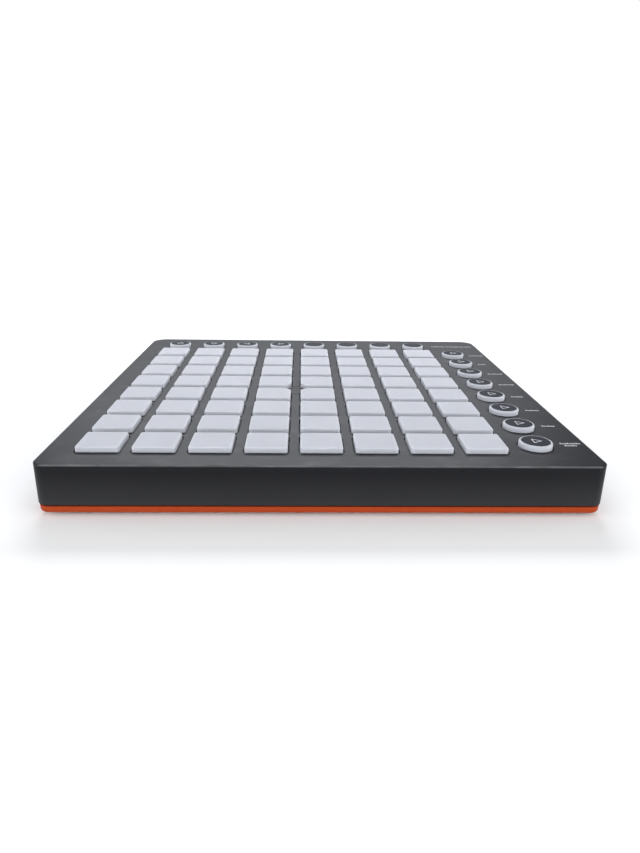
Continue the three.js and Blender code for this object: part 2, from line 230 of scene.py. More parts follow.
class Wire:
    """A shader socket in a sum. Each operation adds one Math node."""

    def __init__(self, graph, socket):
        self.graph = graph
        self.socket = socket

    def maths(self, operation, *values):
        return self.graph.node("ShaderNodeMath", {"operation": operation}, dict(enumerate(values)))

    def __add__(self, other):
        return self.maths("ADD", self, other)

    def __radd__(self, other):
        return self.maths("ADD", other, self)

    def __sub__(self, other):
        return self.maths("SUBTRACT", self, other)

    def __rsub__(self, other):
        return self.maths("SUBTRACT", other, self)

    def __mul__(self, other):
        return self.maths("MULTIPLY", self, other)

    def __rmul__(self, other):
        return self.maths("MULTIPLY", other, self)

    def __abs__(self):
        return self.maths("ABSOLUTE", self)

    def greater(self, other):
        return self.maths("MAXIMUM", self, other)


class Graph:
    """A tree of shader nodes."""

    def __init__(self, tree, place):
        self.tree = tree
        self.place = self.node("ShaderNodeTexCoord", output=place)

    def node(self, kind, settings=None, inputs=None, output=0):
        """Adds a node, sets it, feeds its inputs and gives back one of its outputs."""
        made = self.tree.nodes.new(kind)
        for name, value in (settings or {}).items():
            if name == "stops":
                set_stops(made.color_ramp, value)
            else:
                setattr(made, name, value)
        for key, value in (inputs or {}).items():
            self.feed(made.inputs[key], value)
        return Wire(self, made.outputs[output])

    def feed(self, socket, value):
        if isinstance(value, Wire):
            self.tree.links.new(value.socket, socket)
        else:
            socket.default_value = value

    def noise(self, scale, detail=3.0, place=None, roughness=0.5):
        """Soft clouds of about 1 / scale metres."""
        inputs = {"Vector": place or self.place, "Scale": scale}
        inputs |= {"Detail": detail, "Roughness": roughness}
        return self.node("ShaderNodeTexNoise", {}, inputs, "Fac")

    def cells(self, scale):
        """Round cells of about 1 / scale metres."""
        inputs = {"Vector": self.place, "Scale": scale}
        return self.node("ShaderNodeTexVoronoi", {}, inputs, "Distance")

    def ramp(self, wire, *stops):
        """A grey ramp through (position, value) stops."""
        colours = [(at, (value, value, value, 1)) for at, value in stops]
        return self.node("ShaderNodeValToRGB", {"stops": colours}, {"Fac": wire}, "Color")

    def mix(self, share, first, second):
        """Colour first where share is 0, and second where it is 1."""
        inputs = {0: share, 6: opaque(first), 7: opaque(second)}
        return self.node("ShaderNodeMix", {"data_type": "RGBA"}, inputs, 2)

    def bump(self, height, depth, strength):
        """A normal raised by height, a wire from 0 to 1, times depth in metres."""
        inputs = {"Height": height, "Distance": depth, "Strength": strength}
        return self.node("ShaderNodeBump", {}, inputs)

    def axis(self, letter):
        """One coordinate of the place."""
        return self.node("ShaderNodeSeparateXYZ", {}, {0: self.place}, letter)

    def step(self, wire, low, high):
        """0 up to low, 1 from high on, and a straight ramp between. With low over high it falls."""
        inputs = {"Value": wire, "From Min": low, "From Max": high, "To Min": 0.0, "To Max": 1.0}
        return self.node("ShaderNodeMapRange", {"clamp": True}, inputs)


class Finish(Graph):
    """The nodes of one material, round its Principled shader."""

    def __init__(self, name, **constants):
        self.material = bpy.data.materials.new(name)
        self.material.use_nodes = True
        super().__init__(self.material.node_tree, "Object")
        self.shader = self.tree.nodes["Principled BSDF"]
        for words, value in constants.items():
            self.shader.inputs[socket_name(words)].default_value = value

    def drive(self, **wires):
        """Links wires to the shader: drive(base_color=..., roughness=...)."""
        for words, wire in wires.items():
            self.feed(self.shader.inputs[socket_name(words)], wire)


def socket_name(words):
    """The name of a shader's socket from an argument's: coat_ior is Coat IOR."""
    return words.replace("_", " ").title().replace("Ior", "IOR")


def set_stops(ramp, stops):
    while len(ramp.elements) < len(stops):
        ramp.elements.new(0.5)
    for element, (at, colour) in zip(ramp.elements, stops):
        element.position = at
        element.color = colour


def opaque(colour):
    """A colour with its alpha, or a wire as it is."""
    return colour if isinstance(colour, Wire) else (*colour[:3], 1.0)


def shade(colour, by):
    """A colour made lighter or darker."""
    return tuple(min(1.0, part * by) for part in colour[:3])


# ---- materials


def moulded_plastic(name, colour, contrast=1.0, foot=0.0):
    """Injection-moulded plastic: fine spark-eroded grain, faint flow, dust, edges paled by wear and a
    painted highlight.

    foot is how much paler the foot of the walls is: painted light standing in for light from the bright
    floor.
    """
    graph = Finish(name, specular_ior_level=0.135)
    flow = graph.noise(26, 3)
    specks = graph.noise(1500, 2)
    smudges = graph.step(graph.noise(55, 5, roughness=0.7), 0.5, 0.72)
    dust = graph.step(graph.noise(2300, 0), 0.79, 0.84) * graph.step(graph.noise(40, 2), 0.35, 0.7)
    # Paler along the top edge of the case: partly wear, partly a painted highlight of the edge catching
    # the light.
    edge_wear_and_highlight = edge_nearness(graph) * (0.5 + graph.step(graph.noise(120, 4), 0.3, 0.7) * 0.5)
    tint = graph.mix(flow, shade(colour, 1 - 0.14 * contrast), shade(colour, 1 + 0.14 * contrast))
    grain = graph.step(specks, 0.45, 0.8)
    speckled = graph.mix(grain * 0.5, tint, shade(colour, 1 + 0.9 * contrast))
    # Painted light: the walls grow paler towards their foot, standing in for light from the bright
    # floor.
    low = graph.step(graph.axis("Z"), SHELL_TOP - 4 * MM, SHELL_BOTTOM) * foot
    with_painted_floor_light = graph.mix(low, speckled, worn_and_lit_tone(colour))
    # The edge's wear and painted highlight take the pale tone.
    worn_and_highlit = graph.mix(edge_wear_and_highlight * 0.75, with_painted_floor_light, worn_and_lit_tone(colour))
    height = graph.cells(2900) * 0.7 + specks * 0.6
    graph.drive(
        base_color=graph.mix(dust * 0.16, worn_and_highlit, (0.3, 0.29, 0.27)),
        roughness=0.43 + flow * 0.08 - smudges * 0.08 - edge_wear_and_highlight * 0.12 + dust * 0.2,
        normal=graph.bump(height, 0.02 * MM, 0.6),
    )
    return graph.material


def edge_nearness(graph):
    """Rises above 0 on the last millimetre before the edges of the case's top and sides."""
    across = abs(graph.axis("X")).greater(abs(graph.axis("Y")))
    side = graph.step(across, CASE_HALF - 0.7 * MM, CASE_HALF - 0.15 * MM)
    top = graph.step(graph.axis("Z"), SHELL_TOP - 0.9 * MM, SHELL_TOP - 0.3 * MM)
    return side * top


def worn_and_lit_tone(colour):
    """A dull, lighter tone of a colour: worn plastic at rubbed edges, and painted light on the edge
    highlight and the foot of the walls.
    """
    return tuple(part * 0.8 + 0.15 for part in colour[:3])


def silicone(name, colour):
    """Milky translucent silicone with a powdery skin, faint clouds and a little dust."""
    graph = Finish(
        name,
        subsurface_weight=0.85,
        subsurface_radius=(1.0, 0.95, 0.9),
        subsurface_scale=3 * MM,
        specular_ior_level=0.15,
    )
    cloud = graph.noise(45, 4, roughness=0.6)
    touched = graph.step(graph.noise(80, 5, roughness=0.7), 0.52, 0.7)
    dust = graph.step(graph.noise(1700, 0), 0.8, 0.85)
    milky = graph.mix(cloud, shade(colour, 0.94), shade(colour, 1.05))
    graph.drive(
        base_color=graph.mix(dust * 0.22, milky, shade(colour, 0.45)),
        roughness=0.78 - touched * 0.1 + dust * 0.1,
        normal=graph.bump(graph.noise(4200, 2) + graph.noise(900, 2) * 0.6, 0.012 * MM, 0.6),
    )
    return graph.material


def printed_ink(name, colour):
    """Screen-printed ink: a faint mesh in its surface, thinner in places."""
    graph = Finish(name, specular_ior_level=0.15)
    patches = graph.noise(900, 3)
    graph.drive(
        base_color=graph.mix(patches, shade(colour, 0.86), shade(colour, 1.12)),
        roughness=0.62 + patches * 0.16,
        normal=graph.bump(graph.cells(5200), 0.004 * MM, 0.5),
    )
    return graph.material


def inlay(name, colour, rough):
    """Smooth plastic with hairline scratches from wiping."""
    graph = Finish(name, specular_ior_level=0.25)
    wiping = {"Vector": graph.place, "Rotation": (0, 0, 0.5), "Scale": (1, 14, 1)}
    stretched = graph.node("ShaderNodeMapping", {}, wiping)
    scratches = graph.ramp(graph.noise(900, 4, stretched), (0.62, 0), (0.7, 1))
    graph.drive(
        base_color=graph.mix(graph.noise(300), shade(colour, 0.9), shade(colour, 1.15)),
        roughness=rough + scratches * 0.15,
        normal=graph.bump(scratches, 0.003 * MM, 0.4),
    )
    return graph.material


def rubber(name):
    """Black rubber, dusty where it stands on the table."""
    graph = Finish(name, specular_ior_level=0.3)
    dust = graph.step(graph.noise(900, 5, roughness=0.7), 0.4, 0.9) * 0.6
    graph.drive(
        base_color=graph.mix(dust, (0.012, 0.012, 0.012), (0.06, 0.057, 0.052)),
        roughness=0.78 + dust * 0.15,
        normal=graph.bump(graph.noise(2600, 3), 0.02 * MM, 0.6),
    )
    return graph.material


def plated_steel(name, colour, rough):
    """Plated steel with drawing lines and small dull spots."""
    graph = Finish(name, metallic=1.0)
    stretched = graph.node("ShaderNodeMapping", {}, {"Vector": graph.place, "Scale": (1, 1, 0.08)})
    lines = graph.noise(4200, 3, stretched)
    spots = graph.ramp(graph.noise(1300, 3), (0.55, 0), (0.75, 1))
    graph.drive(
        base_color=graph.mix(spots * 0.25, colour, shade(colour, 0.75)),
        roughness=rough + lines * 0.12 + spots * 0.12,
        normal=graph.bump(lines, 0.004 * MM, 0.4),
    )
    return graph.material


def solder_mask(name):
    """Green board: copper runs under the mask, with a woven laminate below."""
    graph = Finish(name, specular_ior_level=0.55)
    stripes = {"Vector": graph.place, "Scale": 190}
    across = graph.node("ShaderNodeTexWave", {"wave_profile": "TRI"}, stripes)
    bricks = {"Vector": graph.place, "Scale": 160, "Mortar Size": 0.03}
    bricks |= {"Brick Width": 0.9, "Row Height": 0.3}
    bent = graph.node("ShaderNodeTexBrick", {}, bricks, "Fac")
    runs = graph.ramp(across, (0.82, 0), (0.86, 1)) * (1 - bent)
    green = graph.mix(graph.noise(80), (0.008, 0.062, 0.026), (0.013, 0.085, 0.036))
    graph.drive(
        base_color=graph.mix(runs * 0.7, green, (0.025, 0.17, 0.07)),
        roughness=0.32 + graph.noise(600) * 0.1,
        normal=graph.bump(runs, 0.02 * MM, 0.5),
    )
    return graph.material


def black_epoxy(name):
    """Moulding compound of a chip, with a fine matte face."""
    graph = Finish(name, specular_ior_level=0.4)
    flecks = graph.noise(6000, 2)
    graph.drive(
        base_color=graph.mix(flecks, (0.008, 0.008, 0.009), (0.022, 0.022, 0.023)),
        roughness=0.5 + flecks * 0.15,
        normal=graph.bump(flecks, 0.008 * MM, 0.5),
    )
    return graph.material


def floor_paint(name, colour):
    """Pale studio floor with a very faint tooth. It melts into the backdrop further out."""
    graph = Finish(name, specular_ior_level=0.0)
    tooth = graph.noise(90, 3)
    across, along = graph.axis("X"), graph.axis("Y")
    graph.drive(
        base_color=graph.mix(tooth, shade(colour, 0.995), shade(colour, 1.005)),
        roughness=0.75 + tooth * 0.05,
        alpha=graph.step(across * across + along * along, 1.0, 0.2),
    )
    return graph.material


# ---- modelling helpers


def shared_material(name, make, *settings):
    """The material of that name, made the first time that a piece asks for it."""
    return bpy.data.materials.get(name) or make(name, *settings)


def add_object(name, data):
    """Puts an object into the scene."""
    made = bpy.data.objects.new(name, data)
    bpy.context.scene.collection.objects.link(made)
    return made


def mesh_from(bm, name):
    """Turns a bmesh into a mesh."""
    mesh = bpy.data.meshes.new(name)
    bm.to_mesh(mesh)
    bm.free()
    return mesh


def add_piece(name, bm, materials, body=CASE, stands_for=(), sharp=32):
    """Turns a bmesh into a piece, smooth up to sharp degrees, and tells the frame about it."""
    bmesh.ops.recalc_face_normals(bm, faces=bm.faces)
    mesh = mesh_from(bm, name)
    mesh.shade_smooth()
    mesh.set_sharp_from_angle(angle=math.radians(sharp))
    for material in materials:
        mesh.materials.append(material)
    piece = add_object(name, mesh)
    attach(piece, body)
    if stands_for:
        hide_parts(*stands_for)
    return piece


def even_shading(piece):
    """Keeps flat faces flat beside their rounded edges."""
    weighted = piece.modifiers.new("even_shading", "WEIGHTED_NORMAL")
    weighted.keep_sharp = True


def cut(piece, *cutters):
    """Takes the cutters out of a piece and removes them."""
    for cutter in cutters:
        boolean = piece.modifiers.new("cut", "BOOLEAN")
        boolean.object = cutter
        boolean.solver = "EXACT"
    bpy.context.view_layer.update()
    finished = piece.evaluated_get(bpy.context.evaluated_depsgraph_get())
    mesh = bpy.data.meshes.new_from_object(finished)
    piece.modifiers.clear()
    piece.data = mesh
    for cutter in cutters:
        bpy.data.objects.remove(cutter)


def add_box(bm, low, high, turn=0.0):
    """Adds a box, turned about its own Z, and gives back its corners."""
    low, high = Vector(low), Vector(high)
    matrix = Matrix.Translation((low + high) / 2) @ Matrix.Rotation(turn, 4, "Z")
    size = Matrix.Diagonal((*(high - low), 1))
    return bmesh.ops.create_cube(bm, size=1, matrix=matrix @ size)["verts"]


def block_cutter(low, high, turn=0.0):
    """A box to cut with, turned about its own Z."""
    bm = bmesh.new()
    add_box(bm, low, high, turn)
    return add_object("cutter", mesh_from(bm, "cutter"))


def square_ring(bm, half, corner, z, at=(0, 0), steps=5, back=None, notch=0.0, toward=(1, 1)):
    """A ring of edges: a square with rounded corners, and maybe one corner cut straight off.

    back is the radius of the corners towards +Y, where it isn't the same.
    """
    matrix = Matrix.Translation((at[0], at[1], z))
    made = bmesh.ops.create_grid(bm, x_segments=1, y_segments=1, size=half, matrix=matrix)
    corners = sorted(made["verts"], key=lambda vert: vert.co.y)
    if notch:
        cut_off = max(corners, key=lambda vert: (vert.co.xy - Vector(at)).dot(Vector(toward)))
        corners.remove(cut_off)
        bevel_corners(bm, [cut_off], notch, 1)
    if back is not None:
        bevel_corners(bm, corners[2:], back, steps)
        corners = corners[:2]
    rounded = bevel_corners(bm, corners, corner, steps)
    face = rounded["verts"][0].link_faces[0]
    edges = list(face.edges)
    bmesh.ops.delete(bm, geom=[face], context="FACES_ONLY")
    return edges


def bevel_corners(bm, corners, size, steps):
    """Rounds corners of a flat face, or cuts them off where steps is 1."""
    return bmesh.ops.bevel(
        bm,
        geom=corners,
        offset=size,
        offset_type="OFFSET",
        segments=steps,
        profile=0.5,
        affect="VERTICES",
        material=-1,
    )


def round_ring(bm, radius, z, at=(0, 0), steps=RING_STEPS):
    """A ring of edges: a circle."""
    matrix = Matrix.Translation((at[0], at[1], z))
    made = bmesh.ops.create_circle(bm, cap_ends=False, radius=radius, segments=steps, matrix=matrix)
    return list({edge for vert in made["verts"] for edge in vert.link_edges})


def square_stack(bm, half, corner, profile, back=None, notch=0.0, **ring):
    """Rings at each (offset, z) of a profile, joined each to the next. An offset grows the square."""
    grow = 2 - math.sqrt(2)  # how much longer a cut-off corner's leg gets, for each length of offset
    least = 0.2 * MM
    rings = []
    for out, z in profile:
        leg = max(least, notch + grow * out) if notch else 0.0
        behind = None if back is None else max(least, back + out)
        front = max(least, corner + out)
        rings.append(square_ring(bm, half + out, front, z, back=behind, notch=leg, **ring))
    join_rings(bm, rings)
    return rings


def round_stack(bm, profile, at=(0, 0), steps=RING_STEPS):
    """Circles at each (radius, z) of a profile, joined each to the next."""
    rings = [round_ring(bm, radius, z, at, steps) for radius, z in profile]
    join_rings(bm, rings)
    return rings


LEVEL = 0.01 * MM  # rings that differ less than this in height lie in one level


def rises(pair):
    """Whether two rings differ in height."""
    first, second = (ring[0].verts[0].co.z for ring in pair)
    return abs(first - second) > LEVEL


def join_rings(bm, rings):
    """Joins each ring to the next.

    Pairs in one level come first: once a ring has faces, such a pair can be joined crosswise.
    """
    for first, second in sorted(zip(rings, rings[1:]), key=rises):
        bmesh.ops.bridge_loops(bm, edges=first + second)


def close(bm, ring):
    """Closes a ring of edges with one face."""
    bmesh.ops.contextual_create(bm, geom=ring)


FILL_NORMAL = (0.003, 0.007, 1)  # tilted, since an upright one leaves gaps between level edges


def fill_level(bm, z):
    """Fills the open edges at one height, holes and all."""
    near = 0.001 * MM
    edges = [
        edge
        for edge in bm.edges
        if edge.is_boundary and all(abs(vert.co.z - z) < near for vert in edge.verts)
    ]
    bmesh.ops.triangle_fill(bm, use_beauty=True, use_dissolve=False, edges=edges, normal=FILL_NORMAL)
    if any(edge.is_boundary for edge in edges):
        raise RuntimeError("the level at %.2f mm isn't filled" % (z / MM))


def rounded(out, z, radius, steps=4, turn=1, up=1):
    """A quarter round, from a level face at z to an upright face at out, as (offset, z) pairs.

    turn is 1 where the solid lies inside the upright face and -1 where it lies outside. up is 1
    under a top face and -1 over a bottom face.
    """
    pairs = []
    for step in range(steps + 1):
        angle = step / steps * math.pi / 2
        across = radius * (1 - math.sin(angle))
        down = radius * (1 - math.cos(angle))
        pairs.append((out - turn * across, z - up * down))
    return pairs


def spun(bm, profile, at, steps=48):
    """Turns a line of (radius, z) points about the upright line through at. It ends on the axis."""
    verts = [bm.verts.new((at[0] + radius, at[1], z)) for radius, z in profile]
    edges = [bm.edges.new(pair) for pair in zip(verts, verts[1:])]
    bmesh.ops.spin(
        bm,
        geom=verts + edges,
        cent=(at[0], at[1], 0),
        axis=(0, 0, 1),
        dvec=(0, 0, 0),
        angle=2 * math.pi,
        steps=steps,
        use_merge=True,
        use_normal_flip=False,
        use_duplicate=False,
    )
    bmesh.ops.remove_doubles(bm, verts=bm.verts, dist=0.0001 * MM)


def key_places():
    """The middle of every pad, as (x, y)."""
    return [
        (GRID_X + column * PITCH, GRID_Y + row * PITCH)
        for row in range(COUNT)
        for column in range(COUNT)
    ]


def corner_notch(x, y, half, room):
    """How much of the corner nearest the inlay a square at (x, y) loses, and which corner it is."""
    away = CENTRE - Vector((x, y))
    toward = (math.copysign(1, away.x), math.copysign(1, away.y))
    leg = room - (abs(away.x) - half) - (abs(away.y) - half)
    return max(0.0, leg), toward


# ---- top shell


def pad_opening(bm, x, y, edge):
    """The walls of a square opening, rounded by edge at the top."""
    half = PAD_HALF + KEY_CLEARANCE
    notch, toward = corner_notch(x, y, half, BADGE_HALF + GAP)
    profile = rounded(0, SHELL_TOP, edge, 3, turn=-1) + [(0, PLATE_BOTTOM)]
    corner = 1.3 * MM
    square_stack(bm, half, corner, profile, at=(x, y), steps=4, notch=notch, toward=toward)


def button_opening(bm, x, y, edge):
    """The wall of a round opening, rounded by edge at the top."""
    radius = BUTTON_RADIUS + KEY_CLEARANCE
    profile = rounded(radius, SHELL_TOP, edge, 3, turn=-1) + [(radius, PLATE_BOTTOM)]
    round_stack(bm, profile, (x, y), 48)


def boss(bm, x, y, radius, bottom, hole, hole_top):
    """A round boss under the plate with a blind hole for a screw."""
    profile = [(radius + 0.4 * MM, PLATE_BOTTOM), (radius, PLATE_BOTTOM - 0.6 * MM)]
    profile += [(radius, bottom + 0.3 * MM), (radius - 0.3 * MM, bottom), (hole + 0.3 * MM, bottom)]
    profile += [(hole, bottom + 0.3 * MM), (hole, hole_top)]
    rings = round_stack(bm, profile, (x, y), 24)
    close(bm, rings[-1])


def build_top_shell(settings):
    bm = bmesh.new()
    side = rounded(0, SHELL_TOP, settings.edge, 4)
    side += rounded(0, SHELL_BOTTOM, 0.35 * MM, 3, up=-1)[::-1]
    side += [(-WALL + 0.3 * MM, SHELL_BOTTOM), (-WALL, SHELL_BOTTOM + 0.3 * MM)]
    side += [(-WALL, PLATE_BOTTOM)]
    square_stack(bm, CASE_HALF, settings.corner, side, settings.back_corner, steps=8)
    for x, y in key_places():
        pad_opening(bm, x, y, settings.opening_edge)
    for name in TOP_BUTTONS + SIDE_BUTTONS:
        button_opening(bm, *middle(name).xy, settings.opening_edge)
    for name in CASE_SCREWS:
        boss(bm, *middle(name).xy, 3.4 * MM, BOSS_BOTTOM, SHANK_HOLE, CASE_HOLE_TOP)
    for name in BOARD_SCREWS:
        boss(bm, *middle(name).xy, 1.9 * MM, BOARD_HIGH.z, 1.2 * MM, PLATE_BOTTOM - 0.5 * MM)
    fill_level(bm, SHELL_TOP)
    fill_level(bm, PLATE_BOTTOM)
    # The 0.11 is the painted floor light at the foot of the shell's walls.
    plastic = shared_material("charcoal_plastic", moulded_plastic, settings.shell_colour, 1.0, 0.11)
    shell = add_piece("shell", bm, [plastic], stands_for=["top_shell"])
    cut(shell, badge_cutter(), socket_cutter(), lock_cutter())
    even_shading(shell)


def badge_cutter():
    """The recess of the inlay."""
    side = (BADGE_HALF + 2 * GAP) / math.sqrt(2)
    low = (CENTRE.x - side, CENTRE.y - side, BADGE_LOW.z - GAP)
    high = (CENTRE.x + side, CENTRE.y + side, SHELL_TOP + RUN_OUT)
    return block_cutter(low, high, math.pi / 4)


def socket_cutter():
    """The notch that the USB socket looks out of."""
    low = (SOCKET_LOW.x - GAP, CASE_HALF - WALL - RUN_OUT, SHELL_BOTTOM - RUN_OUT)
    return block_cutter(low, (SOCKET_HIGH.x + GAP, CASE_HALF + RUN_OUT, SOCKET_HIGH.z + GAP))


def lock_cutter():
    """The security lock slot, 7 mm by 3 mm, as far right of the middle as the socket is left."""
    x = -middle("usb_socket").x
    half = 3.5 * MM
    low = (x - half, CASE_HALF - WALL - RUN_OUT, 10 * MM)
    return block_cutter(low, (x + half, CASE_HALF + RUN_OUT, 13 * MM))


# ---- base tray


def build_base_tray(settings):
    bm = bmesh.new()
    inset = 0.4 * MM  # how far the tray's side stands back from the shell's
    lip_out = -(WALL + GAP - inset)
    lip_in = lip_out - 1.6 * MM
    lip_top = SHELL_BOTTOM + 1.7 * MM
    floor = TRAY_BOTTOM + 2 * MM
    profile = rounded(0, TRAY_BOTTOM, settings.tray_edge, 8, up=-1)
    profile += rounded(0, TRAY_TOP, 0.3 * MM, 2)[::-1]
    profile += [(lip_out, TRAY_TOP), (lip_out, lip_top - 0.3 * MM), (lip_out - 0.3 * MM, lip_top)]
    profile += [(lip_in, lip_top), (lip_in, floor)]
    back = settings.back_corner - inset
    square_stack(bm, CASE_HALF - inset, settings.corner - inset, profile, back, steps=8)
    pocket = 3.1 * MM
    boss_top = BOSS_BOTTOM - GAP
    screw_hole = [(3.6 * MM, floor), (3.3 * MM, boss_top), (SHANK_HOLE, boss_top)]
    screw_hole += [(SHANK_HOLE, HEAD_SEAT), (pocket, HEAD_SEAT)]
    screw_hole += [(pocket, TRAY_BOTTOM + 0.3 * MM), (pocket + 0.3 * MM, TRAY_BOTTOM)]
    for name in CASE_SCREWS:
        round_stack(bm, screw_hole, middle(name).xy, 24)
    for name in FEET:
        radius = (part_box(name)[1].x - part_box(name)[0].x) / 2 + GAP
        rings = round_stack(bm, [(radius, TRAY_BOTTOM), (radius, FOOT_SEAT)], middle(name).xy, 40)
        close(bm, rings[-1])
    fill_level(bm, TRAY_BOTTOM)
    fill_level(bm, floor)
    plastic = shared_material("orange_plastic", moulded_plastic, settings.tray_colour, 0.25)
    tray = add_piece("tray", bm, [plastic], stands_for=["base_tray"])
    low = (SOCKET_LOW.x - GAP, SOCKET_LOW.y, TRAY_TOP)
    high = (SOCKET_HIGH.x + GAP, CASE_HALF - WALL, lip_top + RUN_OUT)
    cut(tray, block_cutter(low, high))
    even_shading(tray)


# ---- inlay


def build_badge(settings):
    bm = bmesh.new()
    side = BADGE_HALF / math.sqrt(2)
    low = (CENTRE.x - side, CENTRE.y - side, BADGE_LOW.z)
    add_box(bm, low, (CENTRE.x + side, CENTRE.y + side, BADGE_HIGH.z), math.pi / 4)
    top = max(bm.faces, key=lambda face: face.calc_center_median().z)
    border = 2.7 * MM
    bmesh.ops.inset_individual(bm, faces=[top], thickness=border)
    bmesh.ops.inset_individual(bm, faces=[top], thickness=0.1 * MM, depth=-0.15 * MM)
    top.material_index = 1
    rim = [edge for edge in bm.edges if edge.is_convex and edge.calc_face_angle() > 1]
    bmesh.ops.bevel(
        bm, geom=rim, offset=0.08 * MM, segments=2, profile=0.5, affect="EDGES", material=-1
    )
    dark = shared_material("inlay_dark", inlay, (0.004, 0.004, 0.005), 0.55)
    grey = shared_material("inlay_grey", inlay, settings.shell_colour, 0.6)
    piece = add_piece("badge", bm, [dark, grey], stands_for=["centre_badge"])
    even_shading(piece)


# ---- pads


def build_pad_blocks(settings):
    material = shared_material("silicone", silicone, settings.silicone_colour)
    for name in BLOCKS:
        x, y = block_middle(name)
        bm = bmesh.new()
        add_web(bm, x, y)
        for dx in (-PITCH / 2, PITCH / 2):
            for dy in (-PITCH / 2, PITCH / 2):
                add_pad(bm, x + dx, y + dy, settings)
        fill_level(bm, KEY_BOTTOM)
        fill_level(bm, WEB_TOP)
        block = add_piece(
            name.replace("pad_block", "pads"), bm, [material], name, [name], 50
        )
        even_shading(block)


def block_middle(name):
    """The middle of a block's four pads, which its box doesn't give where a corner is cut."""
    row, column = (int(part) - 1 for part in name.split("_")[-2:])
    return GRID_X + (2 * column + 0.5) * PITCH, GRID_Y + (2 * row + 0.5) * PITCH


def add_web(bm, x, y):
    """The thin web that four pads stand on."""
    soft = 0.15 * MM
    notch, toward = corner_notch(x, y, WEB_HALF, BADGE_HALF + BADGE_CLEARANCE)
    profile = [(-soft, KEY_BOTTOM), (0, KEY_BOTTOM + soft), (0, WEB_TOP - soft), (-soft, WEB_TOP)]
    square_stack(bm, WEB_HALF, 3.5 * MM, profile, at=(x, y), steps=4, notch=notch, toward=toward)


def add_pad(bm, x, y, settings):
    """One pad: a soft foot on the web, upright sides with a little draft, and a crowned top."""
    edge = settings.edge
    draft = 0.07 * MM
    foot = 0.2 * MM
    top = KEY_TOP - settings.crown
    notch, toward = corner_notch(x, y, PAD_HALF, BADGE_HALF + BADGE_CLEARANCE)
    profile = [(foot, WEB_TOP), (foot * 0.3, WEB_TOP + foot * 0.3), (0, WEB_TOP + foot)]
    profile += rounded(-draft, top, edge, 5)[::-1]
    profile += [(-3 * edge, top + settings.crown * 0.5), (-0.5 * PAD_HALF, top + settings.crown)]
    rings = square_stack(
        bm, PAD_HALF, settings.corner, profile, at=(x, y), steps=5, notch=notch, toward=toward
    )
    close(bm, rings[-1])


# ---- round buttons


ICON_TURNS = dict(zip(TOP_BUTTONS, (90, -90, 180, 0)))


def build_buttons(settings):
    body = shared_material("silicone", silicone, settings.silicone_colour)
    ink = shared_material("cap_ink", printed_ink, settings.ink_colour)
    icon = shared_material("icon_ink", printed_ink, (0.68, 0.69, 0.71))
    for name in TOP_BUTTONS + SIDE_BUTTONS:
        at = middle(name).xy
        bm = bmesh.new()
        add_button_body(bm, at, settings)
        add_cap(bm, at, settings)
        turn = ICON_TURNS.get(name, 0 if name in SIDE_BUTTONS else None)
        if turn is not None:
            add_arrow(bm, at, math.radians(turn), settings)
        piece = add_piece(
            name.replace("button", "key"), bm, [body, ink, icon], name, [name], 50
        )
        even_shading(piece)


CAP_THICK = 0.05 * MM
ICON_THICK = 0.03 * MM
SUNK = 0.01 * MM  # how deep a print reaches into what it is printed on


def cap_level():
    """The height of a button's silicone under its cap."""
    return KEY_TOP - CAP_THICK - ICON_THICK


def add_button_body(bm, at, settings):
    """The silicone: a flange under the shell and a round body through it."""
    top = cap_level()
    radius = BUTTON_RADIUS
    flange = radius + WEB_MARGIN
    soft = 0.15 * MM
    profile = [(0, KEY_BOTTOM), (flange - soft, KEY_BOTTOM), (flange, KEY_BOTTOM + soft)]
    profile += [(flange, WEB_TOP - soft), (flange - soft, WEB_TOP), (radius + 0.2 * MM, WEB_TOP)]
    profile += [(radius, WEB_TOP + 0.2 * MM)]
    profile += rounded(radius - 0.05 * MM, top, settings.edge, 5)[::-1]
    profile += [(settings.ink_radius - 0.3 * MM, top), (0, top)]
    spun(bm, profile, at)


def add_cap(bm, at, settings):
    """The dark printed cap, with a soft rim."""
    before = set(bm.faces)
    low = cap_level() - SUNK
    top = cap_level() + CAP_THICK
    radius = settings.ink_radius
    profile = [(0, low), (radius, low), (radius, top - 0.03 * MM)]
    profile += [(radius - 0.06 * MM, top), (0, top)]
    spun(bm, profile, at)
    for face in set(bm.faces) - before:
        face.material_index = 1


def add_arrow(bm, at, turn, settings):
    """A hollow triangle printed on the cap. It points along +X where turn is 0."""
    before = set(bm.faces)
    low = cap_level() + CAP_THICK - SUNK
    matrix = Matrix.Translation((*at, low)) @ Matrix.Rotation(turn - math.pi / 2, 4, "Z")
    made = bmesh.ops.create_circle(
        bm, cap_ends=True, radius=settings.icon_size, segments=3, matrix=matrix
    )
    face = made["verts"][0].link_faces[0]
    ring = bmesh.ops.inset_individual(bm, faces=[face], thickness=0.6 * MM)["faces"]
    bmesh.ops.delete(bm, geom=[face], context="FACES")
    raised = bmesh.ops.extrude_face_region(bm, geom=ring, use_keep_orig=True)["geom"]
    verts = [item for item in raised if isinstance(item, bmesh.types.BMVert)]
    bmesh.ops.translate(bm, verts=verts, vec=(0, 0, ICON_THICK + SUNK))
    for face in set(bm.faces) - before:
        face.material_index = 2


# ---- printed marks

PRINT_THICK = 0.03 * MM
DASH = 0.8 * MM
DASH_GAP = 0.3 * MM
DASH_HEIGHTS_MM = (1.5, 1.0, 1.0, 1.45, 1.0, 1.2, 1.0)  # taken in turn along a row
MARK_START = 108.2 * MM
MARK_WIDTHS_MM = (5.5, 6.2, 6.9, 6.3, 8.8, 9.0, 5.0, 9.6)  # beside the buttons, front to back


def add_dashes(bm, x, y, width):
    """A row of short printed dashes, as long as a word would be. They stand on one line."""
    count = max(2, round((width + DASH_GAP) / (DASH + DASH_GAP)))
    step = (width + DASH_GAP) / count
    for n in range(count):
        left = x + step * n
        height = DASH_HEIGHTS_MM[n % len(DASH_HEIGHTS_MM)] * MM
        high = (left + step - DASH_GAP, y + height, SHELL_TOP + PRINT_THICK)
        add_box(bm, (left, y, SHELL_TOP), high)


